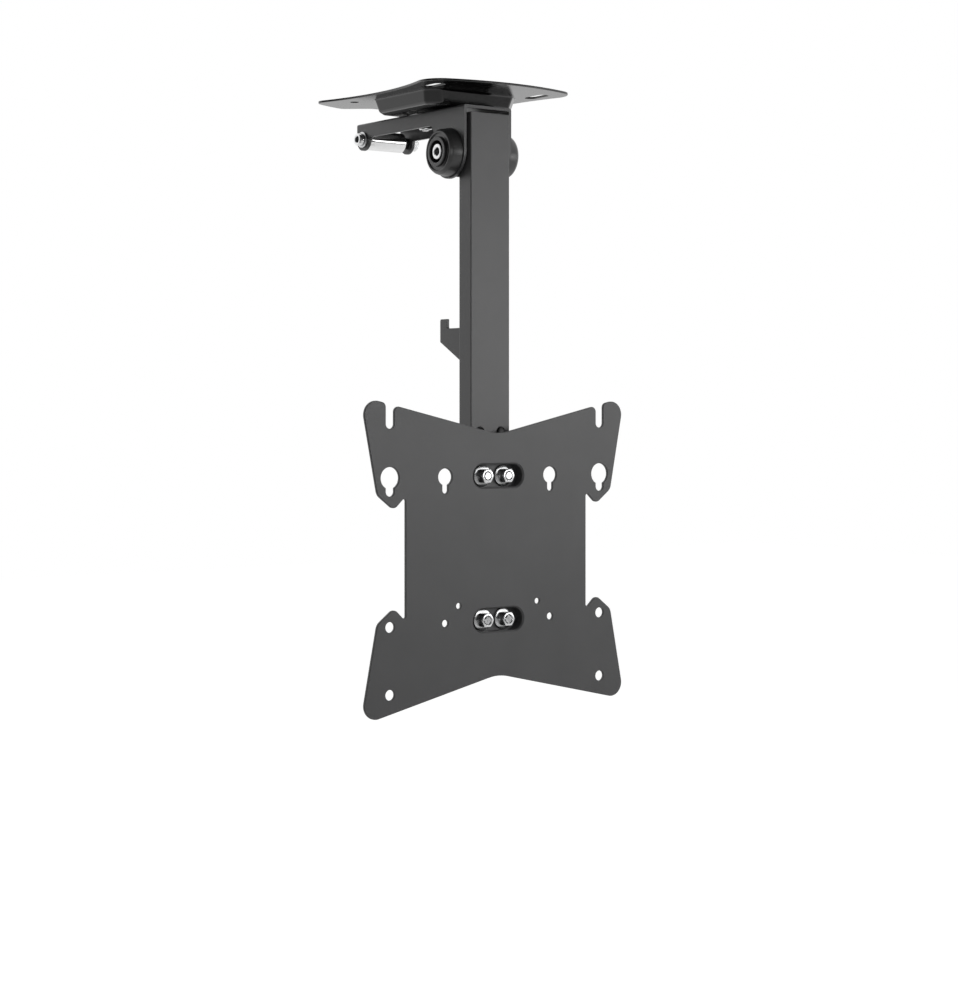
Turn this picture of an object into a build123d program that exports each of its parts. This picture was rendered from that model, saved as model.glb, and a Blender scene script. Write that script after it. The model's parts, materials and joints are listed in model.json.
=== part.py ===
from build123d import *
import math
import os

# Folding and swivelling ceiling mount for a flat screen.
# Frame: origin at the centre of the ceiling plate's top face, on the swivel axis.
# +Z is up, -Y faces the viewer of the screen and X runs along the fold axis. All sizes are millimetres.

# Ceiling plate, pressed from one sheet with a dish in its middle
ceiling_sheet = 1.6
ceiling_edge_radius = 0.6
plate_half_width = 72.0
plate_waist = 58.4
plate_front_corner = -75.3
plate_front_apex = -90.8
plate_front_radius = 18.0
plate_rear_corner = 78.0
plate_rear_apex = 98.2
plate_rear_radius = 10.0
scallop_floor = 78.0
scallop_floor_half = 18.0
scallop_mouth_half = 42.7
scallop_floor_radius = 10.0
scallop_mouth_radius = 6.0
ceiling_hole_spacing = 99.0
ceiling_hole_y = 54.5
ceiling_hole_radius = 3.5
ceiling_slot_width = 9.6
ceiling_slot_length = 24.6
dish_mouth = 87.5
dish_base = 82.0
dish_depth = 12.4
dish_corner_cut = 9.5
dish_corner_radius = 4.0
dish_edge_radius = 3.4
dish_root_radius = 1.5

# Fits
running_clearance = 0.05
bolt_clearance = 0.2
slot_clearance = 0.3

# Swivel bolt and its nylon disc
swivel_diameter = 10.0
swivel_head_across = 16.0
swivel_head_height = 6.0
swivel_nut_height = 8.0
swivel_washer_radius = 10.0
swivel_washer_thickness = 1.6
swivel_disc_radius = 22.0
swivel_disc_thickness = 1.0

# Swivel lock bolt, which runs in an arc slot of the dish
lock_radius = 26.6
lock_swing = 75.0
lock_diameter = 6.0
lock_washer_radius = 8.0

# M6 fastener sizes shared by the lock, the roller and the screen plate
m6_head_across = 10.0
m6_head_height = 4.0
m6_nut_height = 5.2
m6_washer_thickness = 1.6
thread_end = 1.0
end_chamfer = 0.6
hex_flat_share = 0.95
hex_chamfer_angle = 30.0

# Channel bracket, folded from one sheet
channel_sheet = 2.4
channel_outer_bend = 1.8
channel_inner_bend = 0.4
channel_front = -57.1
flange_height = 12.0
flange_step_radius = 7.0
pivot_y = -37.0
pivot_drop = 35.3
roller_y = 83.0
roller_drop = 13.3
rear_ear_radius = 8.8
hook_window_width = 10.0
hook_window_gap = 2.5

# Latch roller and its screw
roller_radius = 8.0
roller_end_gap = 0.3
roller_edge_chamfer = 0.6
roller_screw_diameter = 6.0
roller_head_radius = 5.0
roller_head_height = 4.5
roller_washer_radius = 6.5
roller_socket_across = 5.0

# Fold pivot
pivot_diameter = 8.0
pivot_head_radius = 6.0
pivot_head_height = 8.0
pivot_socket_across = 6.0
pivot_nut_across = 13.0
pivot_nut_height = 6.5
socket_share = 0.55

# Moulded covers on both ends of the fold pivot
cover_base_radius = 19.0
cover_shoulder_radius = 17.5
cover_face_radius = 16.0
cover_height = 10.4
cover_face_drop = 2.4
cover_floor = 3.5
cover_well_radius = 8.5
cover_boss_radius = 11.4
cover_boss_rise = 1.7
cover_boss_chamfer = 0.5
cover_groove_outer = 14.4
cover_groove_depth = 1.2

# Post and the clevis behind its top end
post_width = 36.9
post_depth = 15.6
post_wall = 1.8
post_corner_radius = 0.8
post_top_gap = 3.4
post_end_below_bolts = 17.0
pivot_behind_post = 7.7
clevis_sheet = 3.0
clevis_radius = 14.0
clevis_half_height = 19.0
sleeve_radius = 7.0
friction_washer_radius = 13.0
friction_washer_thickness = 1.75
spare_hole_radius = 4.25
spare_hole_rise = 33.4

# Hook plate on the back of the post
hook_sheet = 2.5
hook_over_roller = 2.75
hook_swing_gap = 0.8
hook_tooth_width = 8.65
hook_tooth_height = 7.5
hook_edge_height = 10.5
hook_foot_height = 38.1
hook_corner_radius = 1.5

# Screen plate
vesa_sheet = 2.0
vesa_drop = 308.7
recess_length = 47.0
recess_width = 17.4
recess_depth = 8.7
recess_mouth = 1.2
plate_bolt_spacing = 20.0
plate_bolt_rise = 60.0
plate_bolt_fall = 50.0
plate_bolt_diameter = 6.0
plate_washer_radius = 8.3

# Screen holes, on the 200, 100 and 75 mm screen patterns
wide_pattern = 200.0
narrow_pattern = 100.0
small_pattern = 75.0
keyhole_rise = 10.0
open_slot_width = 7.3
wide_key_radius = 8.2
wide_key_slot = 7.4
narrow_key_radius = 6.4
narrow_key_slot = 5.1
wide_hole_radius = 4.0
narrow_hole_radius = 2.75
small_hole_radius = 2.3

# Outline of the screen plate: margins round the outer holes, and the radii of its corners
ear_side_margin = 25.6
ear_end_margin = 20.4
ear_radius = 10.5
dip_depth = 28.6
dip_radius = 40.0
slot_mouth_radius = 4.0
shoulder_margin = 11.2
shoulder_drop = 2.5
shoulder_radius = 8.0
tip_inset = 3.5
tip_drop = 13.8
tip_radius = 5.0
waist_inset = 14.0
notch_drop = 3.8
notch_radius = 1.5
plate_edge_break = 0.4

# Heights and depths that follow from the sizes above
dish_floor = -dish_depth + ceiling_sheet
web_top = -dish_depth - swivel_disc_thickness
web_under = web_top - channel_sheet
pivot_z = web_top - pivot_drop
roller_z = web_top - roller_drop
channel_rear = roller_y + rear_ear_radius
ear_reach = pivot_y - channel_front
flange_inner = post_width / 2 + friction_washer_thickness
flange_outer = flange_inner + channel_sheet
post_back = pivot_y - pivot_behind_post
post_front = post_back - post_depth
post_top = web_under - post_top_gap
vesa_z = pivot_z - vesa_drop
vesa_back = post_front - recess_depth
vesa_front = vesa_back - vesa_sheet
upper_bolts_z = vesa_z + plate_bolt_rise
lower_bolts_z = vesa_z - plate_bolt_fall
post_bottom = lower_bolts_z - post_end_below_bolts

# Corners of the screen plate, from its centre
ear_x = wide_pattern / 2 + ear_side_margin
ear_z = wide_pattern / 2 + ear_end_margin
dip_z = ear_z - dip_depth
shoulder_x = wide_pattern / 2 + shoulder_margin
shoulder_z = narrow_pattern / 2 - shoulder_drop
tip_x = wide_pattern / 2 - tip_inset
tip_z = narrow_pattern / 2 - tip_drop
waist_x = wide_pattern / 2 - waist_inset
notch_z = narrow_pattern / 2 - notch_drop

# The hook is set out in the folded position, where its tooth lies over the roller
roller_swing = math.hypot(roller_y - pivot_y, roller_z - pivot_z) + roller_radius
hook_reach = roller_z - pivot_z + roller_radius + hook_over_roller
hook_tip_drop = math.sqrt((roller_swing + hook_swing_gap) ** 2 - hook_reach ** 2)
hook_inner = pivot_y + hook_reach
hook_outer = hook_inner + hook_tooth_width
hook_tip = pivot_z - hook_tip_drop
hook_notch = hook_tip - hook_tooth_height
hook_edge = hook_notch - hook_edge_height
hook_foot = hook_notch - hook_foot_height
hook_window = channel_rear - (pivot_y + hook_tip_drop) + hook_window_gap

FROM_BASE = (Align.CENTER, Align.CENTER, Align.MIN)


def rod(radius, length):
    return Cylinder(radius, length, align=FROM_BASE)


def shank(diameter, length):
    """A bolt's shank below the base plane, with a chamfered end."""
    rod_down = Pos(0, 0, -length) * rod(diameter / 2, length)
    return chamfer(rod_down.edges().group_by(Axis.Z)[0], end_chamfer)


def hexagon(across, length):
    return extrude(RegularPolygon(across / 2, 6, major_radius=False), length)


def chamfered_hexagon(across, length):
    """A hexagon whose corners are turned off at its top end."""
    corner = across / math.sqrt(3)
    flat = across / 2 * hex_flat_share
    drop = (corner - flat) * math.tan(math.radians(hex_chamfer_angle))
    section = Polyline((0, 0), (corner, 0), (corner, length - drop), (flat, length), (0, length), close=True)
    return hexagon(across, length) & revolve(Plane.XZ * make_face(section), Axis.Z)


def washer(radius, bore, thickness):
    return rod(radius, thickness) - rod(bore, thickness)


def hex_bolt(diameter, across, head_height, length):
    """A hex bolt whose head stands on the base plane, with its shank downwards."""
    return chamfered_hexagon(across, head_height) + shank(diameter, length)


def hex_nut(diameter, across, height):
    """A hex nut that hangs from the base plane."""
    return Rot(180, 0, 0) * (chamfered_hexagon(across, height) - rod(diameter / 2, height))


def socket_screw(diameter, head_radius, head_height, socket_across, length):
    """A socket head screw whose head stands on the base plane, with its shank downwards."""
    depth = head_height * socket_share
    socket = Pos(0, 0, head_height - depth) * hexagon(socket_across, depth)
    head = rod(head_radius, head_height)
    head = chamfer(head.edges().group_by(Axis.Z)[-1], end_chamfer)
    return head - socket + shank(diameter, length)


def towards_minus_x(shape):
    """Turns a shape made along +Z so that it points along -X."""
    return Rot(0, -90, 0) * shape


def towards_plus_y(shape):
    """Turns a shape made along +Z so that it points along +Y."""
    return Rot(-90, 0, 0) * shape


def across_x(radius, length, y, z):
    """A cylinder along X, centred on the middle plane."""
    return Pos(-length / 2, y, z) * Rot(0, 90, 0) * rod(radius, length)


def nearest(shape, x, y):
    return shape.vertices().sort_by_distance((x, y, 0))[0]


def ceiling_outline():
    """The plate from above, with a scallop in its rear edge over the latch roller."""
    x = plate_half_width
    front = plate_front_corner
    rear = plate_rear_corner
    right_arc = ThreePointArc((x, front), (plate_waist, 0), (x, rear))
    rear_arc = ThreePointArc((x, rear), (0, plate_rear_apex), (-x, rear))
    left_arc = ThreePointArc((-x, rear), (-plate_waist, 0), (-x, front))
    front_arc = ThreePointArc((-x, front), (0, plate_front_apex), (x, front))
    scallop = Polyline(
        (-scallop_floor_half, scallop_floor),
        (scallop_floor_half, scallop_floor),
        (scallop_mouth_half, plate_rear_apex),
        (-scallop_mouth_half, plate_rear_apex),
        close=True,
    )
    outline = make_face([right_arc, rear_arc, left_arc, front_arc]) - make_face(scallop)
    for side in (-1, 1):
        outline = fillet(nearest(outline, side * x, front), plate_front_radius)
        outline = fillet(nearest(outline, side * x, rear), plate_rear_radius)
        outline = fillet(nearest(outline, side * scallop_floor_half, scallop_floor), scallop_floor_radius)
        outline = fillet(nearest(outline, side * scallop_mouth_half, plate_rear_apex), scallop_mouth_radius)
    return outline


def dish_section(size, height):
    section = chamfer(Rectangle(size, size).vertices(), dish_corner_cut)
    return Pos(0, 0, height) * fillet(section.vertices(), dish_corner_radius)


def ceiling_plate():
    lean = (dish_mouth - dish_base) / 2
    wall = ceiling_sheet * math.hypot(1, lean / (dish_depth - ceiling_sheet))
    plate = Pos(0, 0, -ceiling_sheet) * extrude(ceiling_outline(), ceiling_sheet)
    plate = fillet(plate.edges().group_by(Axis.Z)[0], ceiling_edge_radius)
    dish = loft([dish_section(dish_base, -dish_depth), dish_section(dish_mouth, -ceiling_sheet)])
    dish = fillet(dish.faces().sort_by(Axis.Z)[0].edges(), dish_edge_radius)
    plate = plate + dish
    underside = plate.faces().filter_by(Plane.XY).sort_by(Axis.Z)[1]
    plate = fillet(underside.inner_wires()[0].edges(), dish_root_radius)
    hollow_base = dish_section(dish_base - 2 * wall, dish_floor)
    plate = plate - loft([hollow_base, dish_section(dish_mouth - 2 * wall, 0)])
    holes = Sketch()
    for x in (-ceiling_hole_spacing / 2, ceiling_hole_spacing / 2):
        holes += Pos(x, -ceiling_hole_y) * SlotOverall(ceiling_slot_length, ceiling_slot_width, rotation=90)
        holes += Pos(x, ceiling_hole_y) * Circle(ceiling_hole_radius)
    plate = plate - Pos(0, 0, -ceiling_sheet) * extrude(holes, ceiling_sheet)
    swivel_hole = rod(swivel_diameter / 2 + running_clearance, ceiling_sheet)
    arc = CenterArc((0, 0), lock_radius, 90 - lock_swing, 2 * lock_swing)
    lock_slot = extrude(SlotArc(arc, lock_diameter + 2 * slot_clearance), ceiling_sheet)
    return plate - Pos(0, 0, -dish_depth) * (swivel_hole + lock_slot)


def swivel_disc():
    bore = swivel_diameter / 2 + bolt_clearance
    return Pos(0, 0, web_top) * washer(swivel_disc_radius, bore, swivel_disc_thickness)


def swivel_bolt():
    head_base = dish_floor + swivel_washer_thickness
    end = web_under - swivel_washer_thickness - swivel_nut_height - thread_end
    bolt = hex_bolt(swivel_diameter, swivel_head_across, swivel_head_height, head_base - end)
    return Pos(0, 0, head_base) * bolt


def swivel_washers():
    one = washer(swivel_washer_radius, swivel_diameter / 2 + bolt_clearance, swivel_washer_thickness)
    return Compound([Pos(0, 0, dish_floor) * one, Pos(0, 0, web_under - swivel_washer_thickness) * one])


def swivel_nut():
    nut = hex_nut(swivel_diameter, swivel_head_across, swivel_nut_height)
    return Pos(0, 0, web_under - swivel_washer_thickness) * nut


def lock_bolt():
    head_base = dish_floor + m6_washer_thickness
    end = web_under - m6_washer_thickness - m6_nut_height - thread_end
    bolt = hex_bolt(lock_diameter, m6_head_across, m6_head_height, head_base - end)
    return Pos(0, lock_radius, head_base) * bolt


def lock_washers():
    one = washer(lock_washer_radius, lock_diameter / 2 + bolt_clearance, m6_washer_thickness)
    upper = Pos(0, lock_radius, dish_floor) * one
    return Compound([upper, Pos(0, lock_radius, web_under - m6_washer_thickness) * one])


def lock_nut():
    nut = hex_nut(lock_diameter, m6_head_across, m6_nut_height)
    return Pos(0, lock_radius, web_under - m6_washer_thickness) * nut


def channel_side():
    """Side view of the channel, drawn with Y to the right and Z up."""
    flange_edge = web_top - flange_height
    run = channel_rear - channel_front
    strip = Pos(channel_front, flange_edge) * Rectangle(run, flange_height, align=Align.MIN)
    leg = Pos(channel_front, pivot_z) * Rectangle(2 * ear_reach, pivot_drop, align=Align.MIN)
    ear = Pos(pivot_y, pivot_z) * Circle(ear_reach)
    tail = Pos(roller_y - rear_ear_radius, roller_z)
    tail = tail * Rectangle(2 * rear_ear_radius, roller_drop, align=Align.MIN)
    rear_ear = Pos(roller_y, roller_z) * Circle(rear_ear_radius)
    side = strip + leg + ear + tail + rear_ear
    side = fillet(nearest(side, pivot_y + ear_reach, flange_edge), flange_step_radius)
    return side


def channel_bracket():
    bracket = extrude(Plane.YZ * channel_side(), flange_outer, both=True)
    bracket = fillet(bracket.edges().filter_by(Axis.Y).group_by(Axis.Z)[-1], channel_outer_bend)
    run = channel_rear - channel_front
    depth = pivot_drop + ear_reach
    hollow = Box(2 * flange_inner, run, depth, align=(Align.CENTER, Align.MIN, Align.MAX))
    hollow = fillet(hollow.edges().filter_by(Axis.Y).group_by(Axis.Z)[-1], channel_inner_bend)
    bracket = bracket - Pos(0, channel_front, web_under) * hollow
    swivel_hole = rod(swivel_diameter / 2 + bolt_clearance, channel_sheet)
    lock_hole = Pos(0, lock_radius, 0) * rod(lock_diameter / 2 + bolt_clearance, channel_sheet)
    bracket = bracket - Pos(0, 0, web_under) * (swivel_hole + lock_hole)
    window = Box(hook_window_width, hook_window, channel_sheet, align=(Align.CENTER, Align.MAX, Align.MIN))
    bracket = bracket - Pos(0, channel_rear, web_under) * window
    width = 2 * flange_outer
    bracket = bracket - across_x(pivot_diameter / 2 + bolt_clearance, width, pivot_y, pivot_z)
    return bracket - across_x(roller_screw_diameter / 2 + bolt_clearance, width, roller_y, roller_z)


def latch_roller():
    length = 2 * (flange_inner - roller_end_gap)
    roller = across_x(roller_radius, length, roller_y, roller_z)
    roller = chamfer(roller.edges(), roller_edge_chamfer)
    return roller - across_x(roller_screw_diameter / 2 + running_clearance, length, roller_y, roller_z)


def roller_screw():
    grip = 2 * (flange_outer + m6_washer_thickness)
    length = grip + m6_nut_height + thread_end
    screw = socket_screw(
        roller_screw_diameter, roller_head_radius, roller_head_height, roller_socket_across, length
    )
    return Pos(-grip / 2, roller_y, roller_z) * towards_minus_x(screw)


def roller_washers():
    one = washer(roller_washer_radius, roller_screw_diameter / 2 + bolt_clearance, m6_washer_thickness)
    near = Pos(-flange_outer, roller_y, roller_z) * towards_minus_x(one)
    far = Pos(flange_outer + m6_washer_thickness, roller_y, roller_z) * towards_minus_x(one)
    return Compound([near, far])


def roller_nut():
    nut = hex_nut(roller_screw_diameter, m6_head_across, m6_nut_height)
    return Pos(flange_outer + m6_washer_thickness, roller_y, roller_z) * towards_minus_x(nut)


def pivot_bolt():
    grip = 2 * (flange_outer + cover_floor)
    length = grip + pivot_nut_height + thread_end
    bolt = socket_screw(pivot_diameter, pivot_head_radius, pivot_head_height, pivot_socket_across, length)
    return Pos(-grip / 2, pivot_y, pivot_z) * towards_minus_x(bolt)


def pivot_nut():
    nut = hex_nut(pivot_diameter, pivot_nut_across, pivot_nut_height)
    return Pos(flange_outer + cover_floor, pivot_y, pivot_z) * towards_minus_x(nut)


def pivot_cover():
    """A cover with its back on the base plane and its face upwards."""
    bore = pivot_diameter / 2 + bolt_clearance
    groove_floor = cover_height - cover_groove_depth
    boss_top = cover_height + cover_boss_rise
    section = Polyline(
        (bore, 0),
        (cover_base_radius, 0),
        (cover_shoulder_radius, cover_height - cover_face_drop),
        (cover_face_radius, cover_height),
        (cover_groove_outer, cover_height),
        (cover_groove_outer, groove_floor),
        (cover_boss_radius, groove_floor),
        (cover_boss_radius, boss_top - cover_boss_chamfer),
        (cover_boss_radius - cover_boss_chamfer, boss_top),
        (cover_well_radius, boss_top),
        (cover_well_radius, cover_floor),
        (bore, cover_floor),
        close=True,
    )
    return revolve(Plane.XZ * make_face(section), Axis.Z)


def pivot_cover_near():
    return Pos(-flange_outer, pivot_y, pivot_z) * towards_minus_x(pivot_cover())


def pivot_cover_far():
    return mirror(pivot_cover_near(), about=Plane.YZ)


def friction_washers():
    one = washer(friction_washer_radius, pivot_diameter / 2 + bolt_clearance, friction_washer_thickness)
    near = Pos(-post_width / 2, pivot_y, pivot_z) * towards_minus_x(one)
    return Compound([near, mirror(near, about=Plane.YZ)])


def pivot_sleeve():
    sleeve = across_x(sleeve_radius, post_width, pivot_y, pivot_z)
    return sleeve - across_x(pivot_diameter / 2 + running_clearance, post_width, pivot_y, pivot_z)


def pivot_clevis():
    height = 2 * clevis_half_height
    base = Pos(post_back, pivot_z) * Rectangle(clevis_sheet, height, align=(Align.MIN, Align.CENTER))
    nose = Pos(pivot_y, pivot_z) * Circle(clevis_radius)
    run = pivot_behind_post + clevis_radius
    behind_post = Pos(post_back, pivot_z) * Rectangle(run, height, align=(Align.MIN, Align.CENTER))
    side = make_hull((base + nose).edges()) & behind_post
    clevis = extrude(Plane.YZ * side, post_width / 2, both=True)
    hollow = Box(post_width - 2 * clevis_sheet, run, height, align=(Align.CENTER, Align.MIN, Align.CENTER))
    clevis = clevis - Pos(0, post_back + clevis_sheet, pivot_z) * hollow
    return clevis - across_x(sleeve_radius + running_clearance, post_width, pivot_y, pivot_z)


def plate_bolt_places():
    xs = (-plate_bolt_spacing / 2, plate_bolt_spacing / 2)
    return [(x, z) for z in (upper_bolts_z, lower_bolts_z) for x in xs]


def post_tube():
    outer = RectangleRounded(post_width, post_depth, post_corner_radius)
    inner = Rectangle(post_width - 2 * post_wall, post_depth - 2 * post_wall)
    post = extrude(outer - inner, post_top - post_bottom)
    post = Pos(0, (post_front + post_back) / 2, post_bottom) * post
    bore = plate_bolt_diameter / 2 + bolt_clearance
    spare_z = upper_bolts_z + spare_hole_rise
    holes = [(x, z, bore) for x, z in plate_bolt_places()]
    holes += [(x, spare_z, spare_hole_radius) for x in (-plate_bolt_spacing / 2, plate_bolt_spacing / 2)]
    for x, z, radius in holes:
        post = post - Pos(x, post_front, z) * towards_plus_y(rod(radius, post_depth))
    return post


def hook_plate():
    outline = Polyline(
        (post_back, hook_notch),
        (hook_inner, hook_notch),
        (hook_inner, hook_tip),
        (hook_outer, hook_tip),
        (hook_outer, hook_edge),
        (post_back, hook_foot),
        close=True,
    )
    side = make_face(outline)
    side = fillet(nearest(side, hook_inner, hook_notch), hook_corner_radius)
    side = fillet(nearest(side, hook_outer, hook_tip), hook_corner_radius)
    return extrude(Plane.YZ * side, hook_sheet / 2, both=True)


def vesa_outline():
    """Front view of the screen plate from its centre, with X to the right and Z up."""
    right = [
        (0, dip_z),
        (ear_x, ear_z),
        (shoulder_x, shoulder_z),
        (tip_x, tip_z),
        (waist_x, notch_z),
        (waist_x, -notch_z),
        (tip_x, -tip_z),
        (shoulder_x, -shoulder_z),
        (ear_x, -ear_z),
        (0, -dip_z),
    ]
    left = [(-x, z) for x, z in reversed(right[1:-1])]
    outline = make_face(Polyline(*right, *left, close=True))
    for end in (-1, 1):
        outline = fillet(nearest(outline, 0, end * dip_z), dip_radius)
        for side in (-1, 1):
            outline = fillet(nearest(outline, side * ear_x, end * ear_z), ear_radius)
            outline = fillet(nearest(outline, side * shoulder_x, end * shoulder_z), shoulder_radius)
            outline = fillet(nearest(outline, side * tip_x, end * tip_z), tip_radius)
            outline = fillet(nearest(outline, side * waist_x, end * notch_z), notch_radius)
    return outline


def keyhole(x, seat_z, slot_width, key_radius):
    slot = Pos(x, seat_z) * Rectangle(slot_width, keyhole_rise, align=(Align.CENTER, Align.MIN))
    seat = Pos(x, seat_z) * Circle(slot_width / 2)
    return slot + seat + Pos(x, seat_z + keyhole_rise) * Circle(key_radius)


def open_slot(x, seat_z):
    mouth = ear_z - seat_z
    slot = Pos(x, seat_z) * Rectangle(open_slot_width, mouth, align=(Align.CENTER, Align.MIN))
    return slot + Pos(x, seat_z) * Circle(open_slot_width / 2)


def screen_holes():
    holes = Sketch()
    for side in (-1, 1):
        wide_x = side * wide_pattern / 2
        narrow_x = side * narrow_pattern / 2
        small_x = side * small_pattern / 2
        holes += open_slot(wide_x, wide_pattern / 2)
        holes += keyhole(wide_x, narrow_pattern / 2, wide_key_slot, wide_key_radius)
        holes += keyhole(narrow_x, narrow_pattern / 2, narrow_key_slot, narrow_key_radius)
        holes += Pos(wide_x, -wide_pattern / 2) * Circle(wide_hole_radius)
        holes += Pos(wide_x, -narrow_pattern / 2) * Circle(wide_hole_radius)
        holes += Pos(narrow_x, -narrow_pattern / 2) * Circle(narrow_hole_radius)
        holes += Pos(small_x, -small_pattern / 2) * Circle(small_hole_radius)
    return holes


def vesa_blank():
    """The outline with its holes cut, and the mouths of the open slots rounded."""
    blank = vesa_outline() - screen_holes()
    edge_slope = dip_depth / ear_x
    for side in (-1, 1):
        for wall in (-open_slot_width / 2, open_slot_width / 2):
            x = wide_pattern / 2 + wall
            blank = fillet(nearest(blank, side * x, dip_z + x * edge_slope), slot_mouth_radius)
    return blank


def vesa_plate():
    """The plate is drawn facing up, with its back on the base plane, and then stood up."""
    plate = extrude(vesa_blank(), vesa_sheet)
    plate = chamfer(plate.edges().group_by(Axis.Z)[-1], plate_edge_break)
    full_length = recess_length + 2 * vesa_sheet
    full_width = recess_width + 2 * vesa_sheet
    bore = plate_bolt_diameter / 2 + bolt_clearance
    for rise in (plate_bolt_rise, -plate_bolt_fall):
        boss = Pos(0, rise, -recess_depth) * extrude(SlotOverall(full_length, full_width), recess_depth)
        floor = vesa_sheet - recess_depth
        well = Pos(0, rise, floor) * extrude(SlotOverall(recess_length, recess_width), recess_depth)
        throat = Pos(0, rise, vesa_sheet - recess_mouth) * SlotOverall(recess_length, recess_width)
        wide = SlotOverall(recess_length + 2 * recess_mouth, recess_width + 2 * recess_mouth)
        mouth = loft([throat, Pos(0, rise, vesa_sheet) * wide])
        plate = plate + boss - well - mouth
        for x in (-plate_bolt_spacing / 2, plate_bolt_spacing / 2):
            plate = plate - Pos(x, rise, -recess_depth) * rod(bore, vesa_sheet)
    return Pos(0, vesa_back, vesa_z) * Rot(90, 0, 0) * plate


def plate_bolts():
    """Bolts from behind the post, with their ends level with the face of the screen plate."""
    length = post_back - vesa_front
    bolt = hex_bolt(plate_bolt_diameter, m6_head_across, m6_head_height, length)
    return Compound([Pos(x, post_back, z) * towards_plus_y(bolt) for x, z in plate_bolt_places()])


def plate_washers():
    bore = plate_bolt_diameter / 2 + bolt_clearance
    one = towards_plus_y(washer(plate_washer_radius, bore, m6_washer_thickness))
    seat = post_front - vesa_sheet - m6_washer_thickness
    return Compound([Pos(x, seat, z) * one for x, z in plate_bolt_places()])


def plate_nuts():
    one = towards_plus_y(hex_nut(plate_bolt_diameter, m6_head_across, m6_nut_height))
    seat = post_front - vesa_sheet - m6_washer_thickness
    return Compound([Pos(x, seat, z) * one for x, z in plate_bolt_places()])


parts = {
    "ceiling_plate": ceiling_plate,
    "swivel_disc": swivel_disc,
    "swivel_bolt": swivel_bolt,
    "swivel_washers": swivel_washers,
    "swivel_nut": swivel_nut,
    "lock_bolt": lock_bolt,
    "lock_washers": lock_washers,
    "lock_nut": lock_nut,
    "channel_bracket": channel_bracket,
    "latch_roller": latch_roller,
    "roller_screw": roller_screw,
    "roller_washers": roller_washers,
    "roller_nut": roller_nut,
    "pivot_bolt": pivot_bolt,
    "pivot_nut": pivot_nut,
    "pivot_cover_near": pivot_cover_near,
    "pivot_cover_far": pivot_cover_far,
    "friction_washers": friction_washers,
    "pivot_sleeve": pivot_sleeve,
    "pivot_clevis": pivot_clevis,
    "post_tube": post_tube,
    "hook_plate": hook_plate,
    "vesa_plate": vesa_plate,
    "plate_bolts": plate_bolts,
    "plate_washers": plate_washers,
    "plate_nuts": plate_nuts,
}

os.makedirs("parts", exist_ok=True)
for node, make in parts.items():
    export_step(make(), os.path.join("parts", node + ".step"))
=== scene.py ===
import json
import math
from collections import namedtuple

import bmesh
import bpy
from mathutils import Matrix, Vector


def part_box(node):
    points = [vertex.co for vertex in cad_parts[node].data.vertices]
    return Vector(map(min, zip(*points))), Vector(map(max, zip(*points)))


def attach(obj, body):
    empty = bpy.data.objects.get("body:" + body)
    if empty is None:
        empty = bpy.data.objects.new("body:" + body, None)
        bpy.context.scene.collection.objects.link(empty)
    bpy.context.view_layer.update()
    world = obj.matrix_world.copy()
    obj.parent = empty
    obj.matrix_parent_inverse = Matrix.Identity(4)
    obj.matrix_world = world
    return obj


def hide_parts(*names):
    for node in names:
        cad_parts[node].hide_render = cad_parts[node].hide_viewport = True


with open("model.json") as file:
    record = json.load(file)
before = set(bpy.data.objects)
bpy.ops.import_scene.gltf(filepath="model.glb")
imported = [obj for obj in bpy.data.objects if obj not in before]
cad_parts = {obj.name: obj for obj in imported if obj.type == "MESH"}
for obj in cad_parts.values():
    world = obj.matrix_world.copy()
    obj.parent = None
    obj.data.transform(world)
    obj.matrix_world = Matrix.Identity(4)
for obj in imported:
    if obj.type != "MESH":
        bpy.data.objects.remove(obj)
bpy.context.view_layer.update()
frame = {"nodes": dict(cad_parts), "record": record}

# Lengths are in metres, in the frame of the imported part: the ceiling is z = 0 and -Y is the screen's side.
# Only the camera's lens and sensor are in millimetres.

# Camera, at the photograph's viewing angle
camera_place = (-0.9830, -1.3771, -0.2486)
camera_yaw = math.radians(-36.437)
camera_lens = 77.0
camera_sensor = 36.0
camera_shift = -0.0881

# Floor and room: how bright they are to the viewer, in gloss and on matt paint
floor_height = -0.95
floor_size = 14.0
floor_matt = 0.30
floor_seen = 0.94
floor_gloss_from = -1.6
floor_gloss_to = 1.0
floor_gloss_dark = 0.20
floor_gloss_bright = 0.66
room_seen = 1.0
room_ambient = 0.22
room_gloss_from = -0.35
room_gloss_to = 0.35
room_gloss_dark = 0.12
room_gloss_bright = 1.0
bright_way = Vector((0.594, 0.804, 0.0))

# Lamps, which all point at the same place
light_target = Vector((0.0, 0.0, -0.15))
lamps = {
    "side_light": dict(place=(-1.65, 1.95, 0.70), size=(1.0, 1.0), watts=34.0, in_gloss=False),
    "front_light": dict(place=(0.95, -2.35, 0.45), size=(1.2, 1.2), watts=34.0, in_gloss=False),
    "strip_light": dict(place=(1.55, -2.10, -0.10), size=(2.0, 0.7), watts=12.0, in_gloss=True),
    "edge_light": dict(place=(-1.60, -2.05, -0.10), size=(1.3, 0.8), watts=5.0, in_gloss=True),
}

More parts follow.
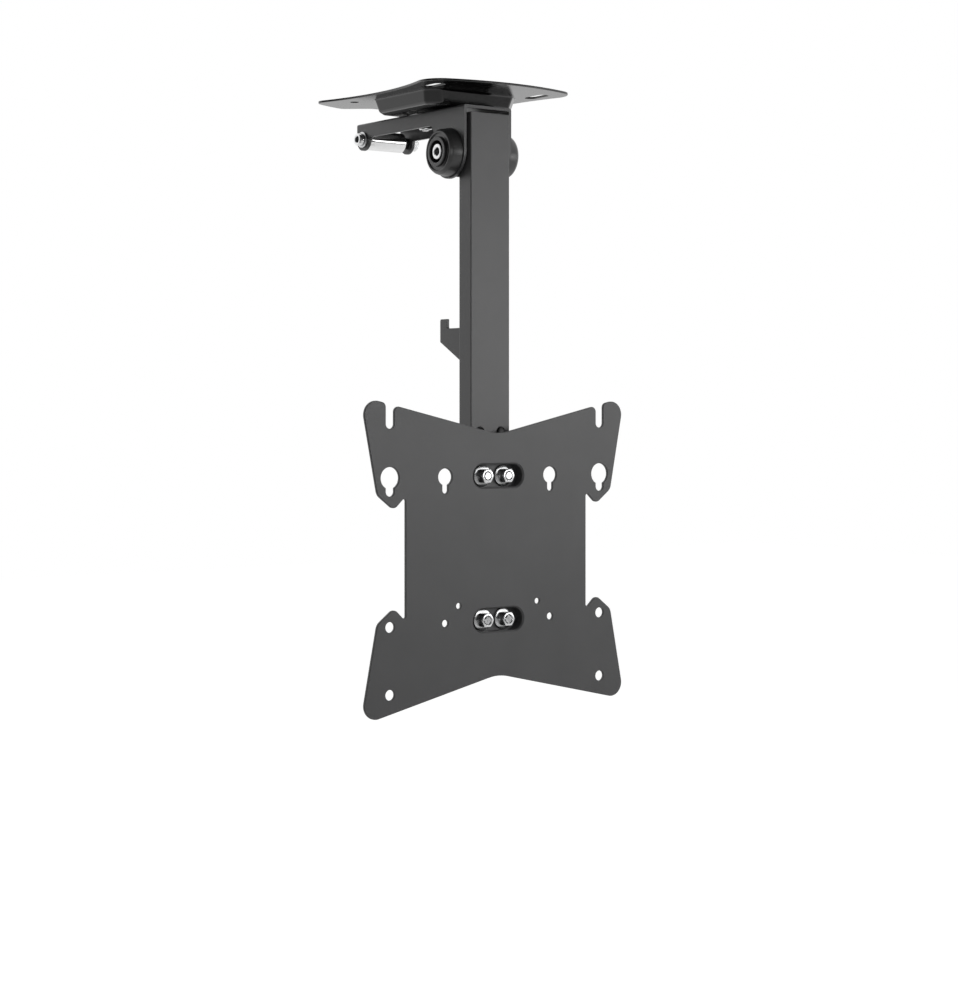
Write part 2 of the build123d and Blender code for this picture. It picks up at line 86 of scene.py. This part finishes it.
# Finishes, in the terms that surface() explains
looks = {
    "satin_black": dict(
        low=(0.057, 0.057, 0.058), high=(0.063, 0.063, 0.064), rough=(0.30, 0.38),
        patch=30.0, grain=1500.0, grain_height=0.00002, edge=0.0003,
    ),
    "plate_black": dict(
        low=(0.050, 0.050, 0.051), high=(0.056, 0.056, 0.057), rough=(0.32, 0.40),
        patch=30.0, grain=1500.0, grain_height=0.00002, edge=0.0003,
    ),
    "gloss_black": dict(
        low=(0.005, 0.005, 0.005), high=(0.007, 0.007, 0.007), rough=(0.11, 0.16),
        patch=60.0, grain=500.0, grain_height=0.000004, edge=0.0003, shine=0.75,
    ),
    "black_plastic": dict(
        low=(0.012, 0.012, 0.012), high=(0.016, 0.016, 0.016), rough=(0.28, 0.36),
        patch=80.0, grain=2200.0, grain_height=0.000006, edge=0.0003, shine=0.9,
    ),
    # Zinc gets painted shade in its recesses and sockets: ambient occlusion darkens its colour up to the
    # given reach.
    "zinc": dict(
        low=(0.82, 0.83, 0.84), high=(0.90, 0.90, 0.90), rough=(0.12, 0.20),
        patch=300.0, grain=1800.0, grain_height=0.000006, edge=0.0001, metallic=1.0, painted_shade_reach=0.006,
    ),
    "polished_steel": dict(
        low=(0.88, 0.88, 0.88), high=(0.93, 0.93, 0.93), rough=(0.03, 0.06),
        patch=200.0, grain=900.0, grain_height=0.000001, edge=0.0002, metallic=1.0,
        stretch=(1.0, 0.03, 0.03),
    ),
    "nylon": dict(
        low=(0.016, 0.016, 0.016), high=(0.022, 0.022, 0.022), rough=(0.45, 0.55),
        patch=120.0, grain=1600.0, grain_height=0.00001, edge=0.0002,
    ),
}
patch_detail = 3.0
grain_detail = 2.0
noise_low = 0.3
noise_high = 0.7
# Samples for the painted shade in recesses
painted_shade_samples = 8
edge_samples = 4

# Fasteners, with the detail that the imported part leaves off
m6_diameter = 0.0060
m8_diameter = 0.0080
m10_diameter = 0.0100
m6_pitch = 0.0010
m8_pitch = 0.00125
m10_pitch = 0.0015
m6_head_height = 0.0040
m10_head_height = 0.0060
roller_head_height = 0.0045
roller_socket_across = 0.0050
pivot_head_height = 0.0080
pivot_socket_across = 0.0060
socket_depth_share = 0.55
socket_tip_share = 0.05
socket_cone_share = 0.2
thread_depth_share = 0.54
threaded_length = 0.012
thread_steps = 8
thread_runout_turns = 2
hex_flat_share = 0.97
hex_slope = math.tan(math.radians(30.0))
small_chamfer = 0.0004
edge_rounding = 0.0002
round_sides = 72
plate_bolt_spacing = 0.020
washer_thickness = 0.0016
washer_rim_share = 0.25
bolt_clearance = 0.0002

# Rounded corners, each at most its neighbouring side divided by corner_limit
corner_limit = 2.2
corner_steps = 4
sharp_angle = math.radians(32.0)

# Latch roller
roller_bush_length = 0.0050
roller_bush_radius = 0.0048
roller_rounding = 0.0006

# Moulded covers
cover_shoulder_inset = 0.0015
cover_face_inset = 0.0030
cover_rim_height = 0.0104
cover_face_drop = 0.0024
cover_groove_radius = 0.0144
cover_groove_depth = 0.0012
cover_boss_radius = 0.0114
cover_well_radius = 0.0085
cover_floor = 0.0035
cover_bore_radius = 0.0042
cover_rounding = 0.0005
cover_sides = 128

# Welds
weld_radius = 0.0013
weld_end_radius = weld_radius / 3
weld_ripple = 0.0016
weld_dip = 0.16
weld_steps = 6
weld_sides = 20
weld_end_gap = 0.0020
hook_tooth_height = 0.0075


class Nodes:
    """Short forms for the nodes of one material or world."""

    def __init__(self, tree):
        self.tree = tree

    def add(self, kind, **settings):
        node = self.tree.nodes.new(kind)
        for name, value in settings.items():
            setattr(node, name, value)
        return node

    def link(self, source, target):
        self.tree.links.new(source, target)

    def noise(self, scale, detail, stretch=(1.0, 1.0, 1.0)):
        """Noise over the object's own coordinates, scale in cells per metre."""
        place = self.add("ShaderNodeTexCoord")
        mapping = self.add("ShaderNodeMapping")
        mapping.inputs["Scale"].default_value = stretch
        texture = self.add("ShaderNodeTexNoise")
        texture.inputs["Scale"].default_value = scale
        texture.inputs["Detail"].default_value = detail
        self.link(place.outputs["Object"], mapping.inputs["Vector"])
        self.link(mapping.outputs["Vector"], texture.inputs["Vector"])
        return texture.outputs["Fac"]

    def colour_between(self, value, low, high):
        ramp = self.add("ShaderNodeValToRGB")
        first, second = ramp.color_ramp.elements
        first.position = noise_low
        second.position = noise_high
        first.color = (*low, 1.0)
        second.color = (*high, 1.0)
        self.link(value, ramp.inputs["Fac"])
        return ramp.outputs["Color"]

    def value_between(self, value, low, high):
        span = self.add("ShaderNodeMapRange")
        span.inputs["From Min"].default_value = noise_low
        span.inputs["From Max"].default_value = noise_high
        span.inputs["To Min"].default_value = low
        span.inputs["To Max"].default_value = high
        self.link(value, span.inputs["Value"])
        return span.outputs["Result"]

    def bump(self, value, height, normal):
        node = self.add("ShaderNodeBump")
        node.inputs["Distance"].default_value = height
        self.link(value, node.inputs["Height"])
        self.link(normal, node.inputs["Normal"])
        return node.outputs["Normal"]

    def towards_light(self, kind, start, end, low, high):
        """Goes smoothly from low to high as a coordinate goes from start to end along the bright way."""
        place = self.add("ShaderNodeTexCoord")
        reach = self.add("ShaderNodeVectorMath", operation="DOT_PRODUCT")
        reach.inputs[1].default_value = bright_way
        span = self.add("ShaderNodeMapRange", interpolation_type="SMOOTHSTEP")
        span.inputs["From Min"].default_value = start
        span.inputs["From Max"].default_value = end
        span.inputs["To Min"].default_value = low
        span.inputs["To Max"].default_value = high
        self.link(place.outputs[kind], reach.inputs[0])
        self.link(reach.outputs["Value"], span.inputs["Value"])
        return span.outputs["Result"]

    def by_ray(self, seen, gloss, other):
        """A strength for each kind of ray: seen for the camera's, gloss for mirrored and refracted ones.

        Rays that carry light to matt paint take the third value.
        """
        path = self.add("ShaderNodeLightPath")
        either = self.add("ShaderNodeMath", operation="MAXIMUM")
        unseen = self.add("ShaderNodeMix", data_type="FLOAT")
        unseen.inputs["A"].default_value = other
        strength = self.add("ShaderNodeMix", data_type="FLOAT")
        strength.inputs["B"].default_value = seen
        self.link(path.outputs["Is Glossy Ray"], either.inputs[0])
        self.link(path.outputs["Is Transmission Ray"], either.inputs[1])
        self.link(either.outputs["Value"], unseen.inputs["Factor"])
        self.link(gloss, unseen.inputs["B"])
        self.link(path.outputs["Is Camera Ray"], strength.inputs["Factor"])
        self.link(unseen.outputs["Result"], strength.inputs["A"])
        return strength.outputs["Result"]

    # Painted shade: multiplies the colour by ambient occlusion, so it darkens in recesses, sockets and gaps
    # where shade falls.
    def paint_recess_shade(self, colour, reach):
        node = self.add("ShaderNodeAmbientOcclusion", samples=painted_shade_samples)
        node.inputs["Distance"].default_value = reach
        self.link(colour, node.inputs["Color"])
        return node.outputs["Color"]

    def soft_edges(self, radius):
        node = self.add("ShaderNodeBevel", samples=edge_samples)
        node.inputs["Radius"].default_value = radius
        return node.outputs["Normal"]


def surface(
    name, low, high, rough, patch, grain, grain_height, edge,
    metallic=0.0, shine=0.5, painted_shade_reach=0.0, stretch=(1.0, 1.0, 1.0),
):
    """A finish with slow changes of colour, a fine grain in roughness and relief, and softened edges.

    The colour lies between low and high, and the roughness between the two values of rough.
    patch and grain are in cells per metre, and stretch draws the grain out along an axis.
    grain_height, edge (the softening's radius) and painted_shade_reach are in metres; painted_shade_reach is
    how far into a recess painted shade (ambient occlusion multiplied into the colour) darkens it.
    """
    material = bpy.data.materials.new(name)
    material.use_nodes = True
    graph = Nodes(material.node_tree)
    shader = graph.tree.nodes["Principled BSDF"]
    shader.inputs["Metallic"].default_value = metallic
    shader.inputs["Specular IOR Level"].default_value = shine
    slow = graph.noise(patch, patch_detail)
    fine = graph.noise(grain, grain_detail, stretch)
    colour = graph.colour_between(slow, low, high)
    # Painted shade: ambient occlusion darkens the colour in recesses and gaps.
    if painted_shade_reach:
        colour = graph.paint_recess_shade(colour, painted_shade_reach)
    graph.link(colour, shader.inputs["Base Color"])
    graph.link(graph.value_between(fine, *rough), shader.inputs["Roughness"])
    graph.link(graph.bump(fine, grain_height, graph.soft_edges(edge)), shader.inputs["Normal"])
    return material


finishes = {name: surface(name, **look) for name, look in looks.items()}

for part in frame["record"]["subparts"]:
    node = frame["nodes"][part["node"]]
    node.data.materials.clear()
    node.data.materials.append(finishes[part["material_slot"]])


def ring(radius, height, sides=round_sides):
    """One turn of points about Z. radius and height are numbers, or functions of the angle."""
    points = []
    for k in range(sides):
        angle = 2 * math.pi * k / sides
        reach = radius(angle) if callable(radius) else radius
        z = height(angle) if callable(height) else height
        points.append(Vector((reach * math.cos(angle), reach * math.sin(angle), z)))
    return points


class Piece:
    """One mesh, put together from skins over rings of points."""

    def __init__(self):
        self.points = []
        self.faces = []

    def skin(self, rings, place, closed=False):
        """Joins the rings in order. The ends are filled, or joined to each other if closed."""
        start = len(self.points)
        sides = len(rings[0])
        for points in rings:
            self.points += [place @ point for point in points]
        bands = len(rings) if closed else len(rings) - 1
        for i in range(bands):
            row = start + i * sides
            next_row = start + (i + 1) % len(rings) * sides
            for k in range(sides):
                beside = (k + 1) % sides
                self.faces.append((row + k, row + beside, next_row + beside, next_row + k))
        if not closed:
            end = start + bands * sides
            self.faces.append(tuple(range(start, start + sides)))
            self.faces.append(tuple(range(end, end + sides)))

    def place(self, name, slot, body, *nodes):
        """Puts the mesh in the scene, on its body and in place of the CAD nodes it stands for."""
        mesh = bpy.data.meshes.new(name)
        mesh.from_pydata(self.points, [], self.faces)
        work = bmesh.new()
        work.from_mesh(mesh)
        bmesh.ops.recalc_face_normals(work, faces=work.faces)
        work.to_mesh(mesh)
        work.free()
        mesh.shade_smooth()
        mesh.set_sharp_from_angle(angle=sharp_angle)
        mesh.materials.append(finishes[slot])
        piece = bpy.data.objects.new(name, mesh)
        bpy.context.scene.collection.objects.link(piece)
        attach(piece, body)
        if nodes:
            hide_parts(*nodes)


def hex_radius(across):
    """Distance from the axis to a hexagon's side, with a corner at angle 0."""
    return lambda angle: across / 2 / math.cos(angle % (math.pi / 3) - math.pi / 6)


def thread_rings(radius, pitch, start, end):
    """A right-hand thread from start down to end, which runs out into the plain shank at its start."""
    depth = thread_depth_share * pitch
    count = round((start - end) / pitch * thread_steps)
    rings = []
    for i in range(count + 1):
        z = start - i * pitch / thread_steps
        cut = depth * min(1.0, i / (thread_runout_turns * thread_steps))
        turn = 2 * math.pi * z / pitch
        rings.append(ring(lambda angle: radius - cut * (0.5 - 0.5 * math.cos(turn - angle)), z))
    return rings


def shank_rings(diameter, length, pitch):
    """A shank below the base plane, threaded at its end."""
    radius = diameter / 2
    core = radius - thread_depth_share * pitch
    tip = -length + small_chamfer
    plain = -max(small_chamfer, length - threaded_length)
    fillet = [ring(radius + small_chamfer, 0.0), ring(radius, -small_chamfer)]
    return fillet + thread_rings(radius, pitch, plain, tip) + [ring(core, -length)]


def hex_bolt_rings(across, head_height, diameter, length, pitch):
    """A bolt with its head's chamfered hexagon above the base plane and its shank below."""
    flat = across / 2 * hex_flat_share
    side = hex_radius(across)
    head = [
        ring(flat - small_chamfer, head_height),
        ring(flat, head_height),
        ring(side, lambda angle: head_height - (side(angle) - flat) * hex_slope),
        ring(side, edge_rounding),
        ring(lambda angle: side(angle) - edge_rounding, 0.0),
    ]
    return head + shank_rings(diameter, length, pitch)


def hex_nut_rings(across, height, diameter):
    """A nut from the base plane up, chamfered at both ends and countersunk."""
    flat = across / 2 * hex_flat_share
    side = hex_radius(across)
    bore = diameter / 2
    mouth = bore + 2 * small_chamfer
    return [
        ring(flat, 0.0),
        ring(side, lambda angle: (side(angle) - flat) * hex_slope),
        ring(side, lambda angle: height - (side(angle) - flat) * hex_slope),
        ring(flat, height),
        ring(mouth, height),
        ring(bore, height - 2 * small_chamfer),
        ring(bore, 2 * small_chamfer),
        ring(mouth, 0.0),
    ]


def socket_screw_rings(head_radius, head_height, socket_across, diameter, length, pitch):
    """A screw with a round head, whose hex socket ends in a drilled cone."""
    socket = hex_radius(socket_across)
    floor = head_height - head_height * socket_depth_share
    mouth = socket_across / 2 / math.cos(math.pi / 6) + edge_rounding
    head = [
        ring(socket_across * socket_tip_share, floor - socket_across * socket_cone_share),
        ring(lambda angle: socket(angle) - edge_rounding, floor),
        ring(socket, floor),
        ring(socket, head_height - small_chamfer),
        ring(mouth, head_height),
        ring(head_radius - 2 * small_chamfer, head_height),
        ring(head_radius - small_chamfer / 2, head_height - small_chamfer / 2),
        ring(head_radius, head_height - 2 * small_chamfer),
        ring(head_radius, small_chamfer),
        ring(head_radius - small_chamfer, 0.0),
    ]
    return head + shank_rings(diameter, length, pitch)


def washer_rings(radius, bore, thickness):
    """A stamped washer, with a rounded upper rim."""
    rim = thickness * washer_rim_share
    return [
        ring(bore, edge_rounding),
        ring(bore + edge_rounding, 0.0),
        ring(radius - edge_rounding, 0.0),
        ring(radius, edge_rounding),
        ring(radius, thickness - rim),
        ring(radius - rim / 3, thickness - rim / 3),
        ring(radius - rim, thickness),
        ring(bore + edge_rounding, thickness),
        ring(bore, thickness - edge_rounding),
    ]


def turned(angle, axis):
    """Gives a function that turns a piece about an axis and then puts its origin at x, y, z."""
    return lambda x, y, z: Matrix.Translation((x, y, z)) @ Matrix.Rotation(angle, 4, axis)


upright = turned(0.0, "X")
hanging = turned(math.pi, "X")
facing_left = turned(-math.pi / 2, "Y")
facing_right = turned(math.pi / 2, "Y")
facing_back = turned(-math.pi / 2, "X")
facing_front = turned(math.pi / 2, "X")

Extent = namedtuple("Extent", "low high middle size")


def extent(node):
    """Lowest corner, highest corner, middle and size of a CAD node."""
    low, high = (Vector(corner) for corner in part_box(node))
    return Extent(low, high, (low + high) / 2, high - low)


def add_upright_bolt(name, head_height, diameter, pitch):
    """A hex bolt with its head up, its nut, and a washer under each."""
    box = extent(name + "_bolt")
    seat = box.high.z - head_height
    bolt = Piece()
    rings = hex_bolt_rings(box.size.y, head_height, diameter, seat - box.low.z, pitch)
    bolt.skin(rings, upright(box.middle.x, box.middle.y, seat))
    bolt.place(name + "_bolt_threaded", "zinc", "arm", name + "_bolt")
    box = extent(name + "_nut")
    nut = Piece()
    rings = hex_nut_rings(box.size.y, box.size.z, diameter)
    nut.skin(rings, hanging(box.middle.x, box.middle.y, box.high.z), closed=True)
    nut.place(name + "_nut_chamfered", "zinc", "arm", name + "_nut")
    box = extent(name + "_washers")
    rings = washer_rings(box.size.x / 2, diameter / 2 + bolt_clearance, washer_thickness)
    upper_base = box.high.z - washer_thickness
    lower_base = box.low.z + washer_thickness
    washers = Piece()
    washers.skin(rings, upright(box.middle.x, box.middle.y, upper_base), closed=True)
    washers.skin(rings, hanging(box.middle.x, box.middle.y, lower_base), closed=True)
    washers.place(name + "_washers_stamped", "zinc", "arm", name + "_washers")


def add_cross_screw(node, nut_node, head_height, socket_across, diameter, pitch):
    """A socket head screw along X with its head on the left, and its nut."""
    box = extent(node)
    seat = box.low.x + head_height
    length = box.high.x - seat
    screw = Piece()
    rings = socket_screw_rings(box.size.y / 2, head_height, socket_across, diameter, length, pitch)
    screw.skin(rings, facing_left(seat, box.middle.y, box.middle.z))
    screw.place(node + "_threaded", "zinc", "arm", node)
    box = extent(nut_node)
    nut = Piece()
    rings = hex_nut_rings(box.size.y, box.size.x, diameter)
    nut.skin(rings, facing_right(box.low.x, box.middle.y, box.middle.z), closed=True)
    nut.place(nut_node + "_chamfered", "zinc", "arm", nut_node)


def add_roller_washers():
    box = extent("roller_washers")
    rings = washer_rings(box.size.y / 2, m6_diameter / 2 + bolt_clearance, washer_thickness)
    left_base = box.low.x + washer_thickness
    right_base = box.high.x - washer_thickness
    washers = Piece()
    washers.skin(rings, facing_left(left_base, box.middle.y, box.middle.z), closed=True)
    washers.skin(rings, facing_right(right_base, box.middle.y, box.middle.z), closed=True)
    washers.place("roller_washers_stamped", "zinc", "arm", "roller_washers")


def add_plate_fasteners():
    """The four bolts through the post, with tall lock nuts and washers in the screen plate's recesses."""
    bolt_box = extent("plate_bolts")
    nut_box = extent("plate_nuts")
    washer_box = extent("plate_washers")
    across = (bolt_box.size.x - plate_bolt_spacing) * math.cos(math.pi / 6)
    washer_radius = (washer_box.size.x - plate_bolt_spacing) / 2
    seat = bolt_box.high.y - m6_head_height
    nut_height = nut_box.high.y - bolt_box.low.y - edge_rounding
    bolt_rings = hex_bolt_rings(across, m6_head_height, m6_diameter, seat - bolt_box.low.y, m6_pitch)
    nut_rings = hex_nut_rings(across, nut_height, m6_diameter)
    disc_rings = washer_rings(washer_radius, m6_diameter / 2 + bolt_clearance, washer_thickness)
    bolts = Piece()
    nuts = Piece()
    washers = Piece()
    for z in (bolt_box.low.z + across / 2, bolt_box.high.z - across / 2):
        for side in (-1, 1):
            x = bolt_box.middle.x + side * plate_bolt_spacing / 2
            bolts.skin(bolt_rings, facing_back(x, seat, z))
            nuts.skin(nut_rings, facing_front(x, nut_box.high.y, z), closed=True)
            washers.skin(disc_rings, facing_front(x, washer_box.high.y, z), closed=True)
    bolts.place("plate_bolts_threaded", "zinc", "post", "plate_bolts")
    nuts.place("plate_nuts_chamfered", "zinc", "post", "plate_nuts")
    washers.place("plate_washers_stamped", "zinc", "post", "plate_washers")


def rounded_profile(corners, radius):
    """A closed outline of (radius, height) points with each corner drawn as a short curve."""
    points = []
    for i, corner in enumerate(corners):
        here = Vector(corner)
        before = Vector(corners[i - 1]) - here
        after = Vector(corners[(i + 1) % len(corners)]) - here
        start = here + before.normalized() * min(radius, before.length / corner_limit)
        end = here + after.normalized() * min(radius, after.length / corner_limit)
        for k in range(corner_steps + 1):
            t = k / corner_steps
            points.append((1 - t) ** 2 * start + 2 * t * (1 - t) * here + t ** 2 * end)
    return points


def add_roller():
    """The latch roller, a tube with rounded rims, and the bush that holds it to the left."""
    box = extent("latch_roller")
    radius = box.size.y / 2
    bore = m6_diameter / 2 + bolt_clearance
    length = box.size.x - roller_bush_length
    corners = [(bore, 0.0), (radius, 0.0), (radius, length), (bore, length)]
    rings = [ring(point.x, point.y) for point in rounded_profile(corners, roller_rounding)]
    roller = Piece()
    roller.skin(rings, facing_right(box.low.x, box.middle.y, box.middle.z), closed=True)
    roller.place("latch_roller_turned", "polished_steel", "roller", "latch_roller")
    rings = washer_rings(roller_bush_radius, bore, roller_bush_length)
    bush_base = box.high.x - roller_bush_length
    bush = Piece()
    bush.skin(rings, facing_right(bush_base, box.middle.y, box.middle.z), closed=True)
    bush.place("roller_bush", "nylon", "roller")


def add_cover(node, facing, seat):
    """A moulded cover with rounded rims, which faces left or right from its seat on the flange."""
    box = extent(node)
    base = box.size.y / 2
    groove_floor = cover_rim_height - cover_groove_depth
    profile = rounded_profile(
        [
            (cover_bore_radius, 0.0),
            (base, 0.0),
            (base - cover_shoulder_inset, cover_rim_height - cover_face_drop),
            (base - cover_face_inset, cover_rim_height),
            (cover_groove_radius, cover_rim_height),
            (cover_groove_radius, groove_floor),
            (cover_boss_radius, groove_floor),
            (cover_boss_radius, box.size.x),
            (cover_well_radius, box.size.x),
            (cover_well_radius, cover_floor),
            (cover_bore_radius, cover_floor),
        ],
        cover_rounding,
    )
    cover = Piece()
    rings = [ring(point.x, point.y, cover_sides) for point in profile]
    cover.skin(rings, facing(seat, box.middle.y, box.middle.z), closed=True)
    cover.place(node + "_moulded", "black_plastic", "arm", node)


def weld_rings(length):
    """A bead along +Z, with the ripples that a welding torch leaves."""
    count = round(length / weld_ripple) * weld_steps
    rings = [ring(weld_end_radius, 0.0, weld_sides)]
    for i in range(1, count):
        swell = 1 - weld_dip * abs(math.sin(math.pi * i / weld_steps))
        rings.append(ring(weld_radius * swell, length * i / count, weld_sides))
    rings.append(ring(weld_end_radius, length, weld_sides))
    return rings


def add_welds():
    """Beads on the post's back, along both sides of the hook and the clevis's upper and lower edges."""
    box = extent("hook_plate")
    top = box.high.z - hook_tooth_height - weld_end_gap
    foot = box.low.z + 2 * weld_end_gap
    hook = Piece()
    for x in (box.low.x, box.high.x):
        hook.skin(weld_rings(top - foot), upright(x, box.low.y, foot))
    hook.place("hook_welds", "satin_black", "post")
    box = extent("pivot_clevis")
    rings = weld_rings(box.size.x - 2 * weld_end_gap)
    clevis = Piece()
    for z in (box.low.z, box.high.z):
        clevis.skin(rings, facing_right(box.low.x + weld_end_gap, box.low.y, z))
    clevis.place("clevis_welds", "satin_black", "post")


def add_floor():
    """A plain floor that takes the shadow, with a glow that makes it as white as the room."""
    mesh = bpy.data.meshes.new("floor")
    half = floor_size / 2
    corners = [(-half, -half), (half, -half), (half, half), (-half, half)]
    mesh.from_pydata([(x, y, floor_height) for x, y in corners], [], [(0, 1, 2, 3)])
    floor = bpy.data.objects.new("floor", mesh)
    bpy.context.scene.collection.objects.link(floor)
    material = bpy.data.materials.new("floor_white")
    material.use_nodes = True
    graph = Nodes(material.node_tree)
    graph.tree.nodes.clear()
    output = graph.add("ShaderNodeOutputMaterial")
    matt = graph.add("ShaderNodeBsdfDiffuse")
    matt.inputs["Color"].default_value = (floor_matt, floor_matt, floor_matt, 1.0)
    glow = graph.add("ShaderNodeEmission")
    total = graph.add("ShaderNodeAddShader")
    gloss = graph.towards_light(
        "Object", floor_gloss_from, floor_gloss_to, floor_gloss_dark, floor_gloss_bright
    )
    graph.link(graph.by_ray(floor_seen, gloss, 0.0), glow.inputs["Strength"])
    graph.link(matt.outputs["BSDF"], total.inputs[0])
    graph.link(glow.outputs["Emission"], total.inputs[1])
    graph.link(total.outputs["Shader"], output.inputs["Surface"])
    mesh.materials.append(material)


def light_world():
    """A white room: white to the viewer, darker behind the viewer in gloss, and faint on matt paint."""
    world = bpy.data.worlds.new("studio")
    world.use_nodes = True
    bpy.context.scene.world = world
    graph = Nodes(world.node_tree)
    sky = graph.tree.nodes["Background"]
    sky.inputs["Color"].default_value = (1.0, 1.0, 1.0, 1.0)
    gloss = graph.towards_light(
        "Generated", room_gloss_from, room_gloss_to, room_gloss_dark, room_gloss_bright
    )
    graph.link(graph.by_ray(room_seen, gloss, room_ambient), sky.inputs["Strength"])


def add_lamp(name, place, size, watts, in_gloss):
    """A soft rectangular lamp, which shows in glossy paint only if in_gloss."""
    lamp = bpy.data.lights.new(name, "AREA")
    lamp.shape = "RECTANGLE"
    lamp.size, lamp.size_y = size
    lamp.energy = watts
    holder = bpy.data.objects.new(name, lamp)
    holder.location = place
    holder.rotation_euler = (light_target - Vector(place)).to_track_quat("-Z", "Y").to_euler()
    holder.visible_glossy = in_gloss
    bpy.context.scene.collection.objects.link(holder)


def add_camera():
    lens = bpy.data.cameras.new("camera")
    lens.lens = camera_lens
    lens.sensor_width = camera_sensor
    lens.shift_y = camera_shift
    camera = bpy.data.objects.new("camera", lens)
    camera.location = camera_place
    camera.rotation_euler = (math.pi / 2, 0.0, camera_yaw)
    bpy.context.scene.collection.objects.link(camera)
    bpy.context.scene.camera = camera


add_upright_bolt("swivel", m10_head_height, m10_diameter, m10_pitch)
add_upright_bolt("lock", m6_head_height, m6_diameter, m6_pitch)
add_cross_screw(
    "roller_screw", "roller_nut", roller_head_height, roller_socket_across, m6_diameter, m6_pitch
)
add_cross_screw(
    "pivot_bolt", "pivot_nut", pivot_head_height, pivot_socket_across, m8_diameter, m8_pitch
)
add_roller_washers()
add_roller()
add_plate_fasteners()
add_cover("pivot_cover_near", facing_left, extent("pivot_cover_near").high.x)
add_cover("pivot_cover_far", facing_right, extent("pivot_cover_far").low.x)
add_welds()
add_floor()
light_world()
for lamp_name, lamp_settings in lamps.items():
    add_lamp(lamp_name, **lamp_settings)
add_camera()
bpy.context.scene.view_settings.view_transform = "Standard"
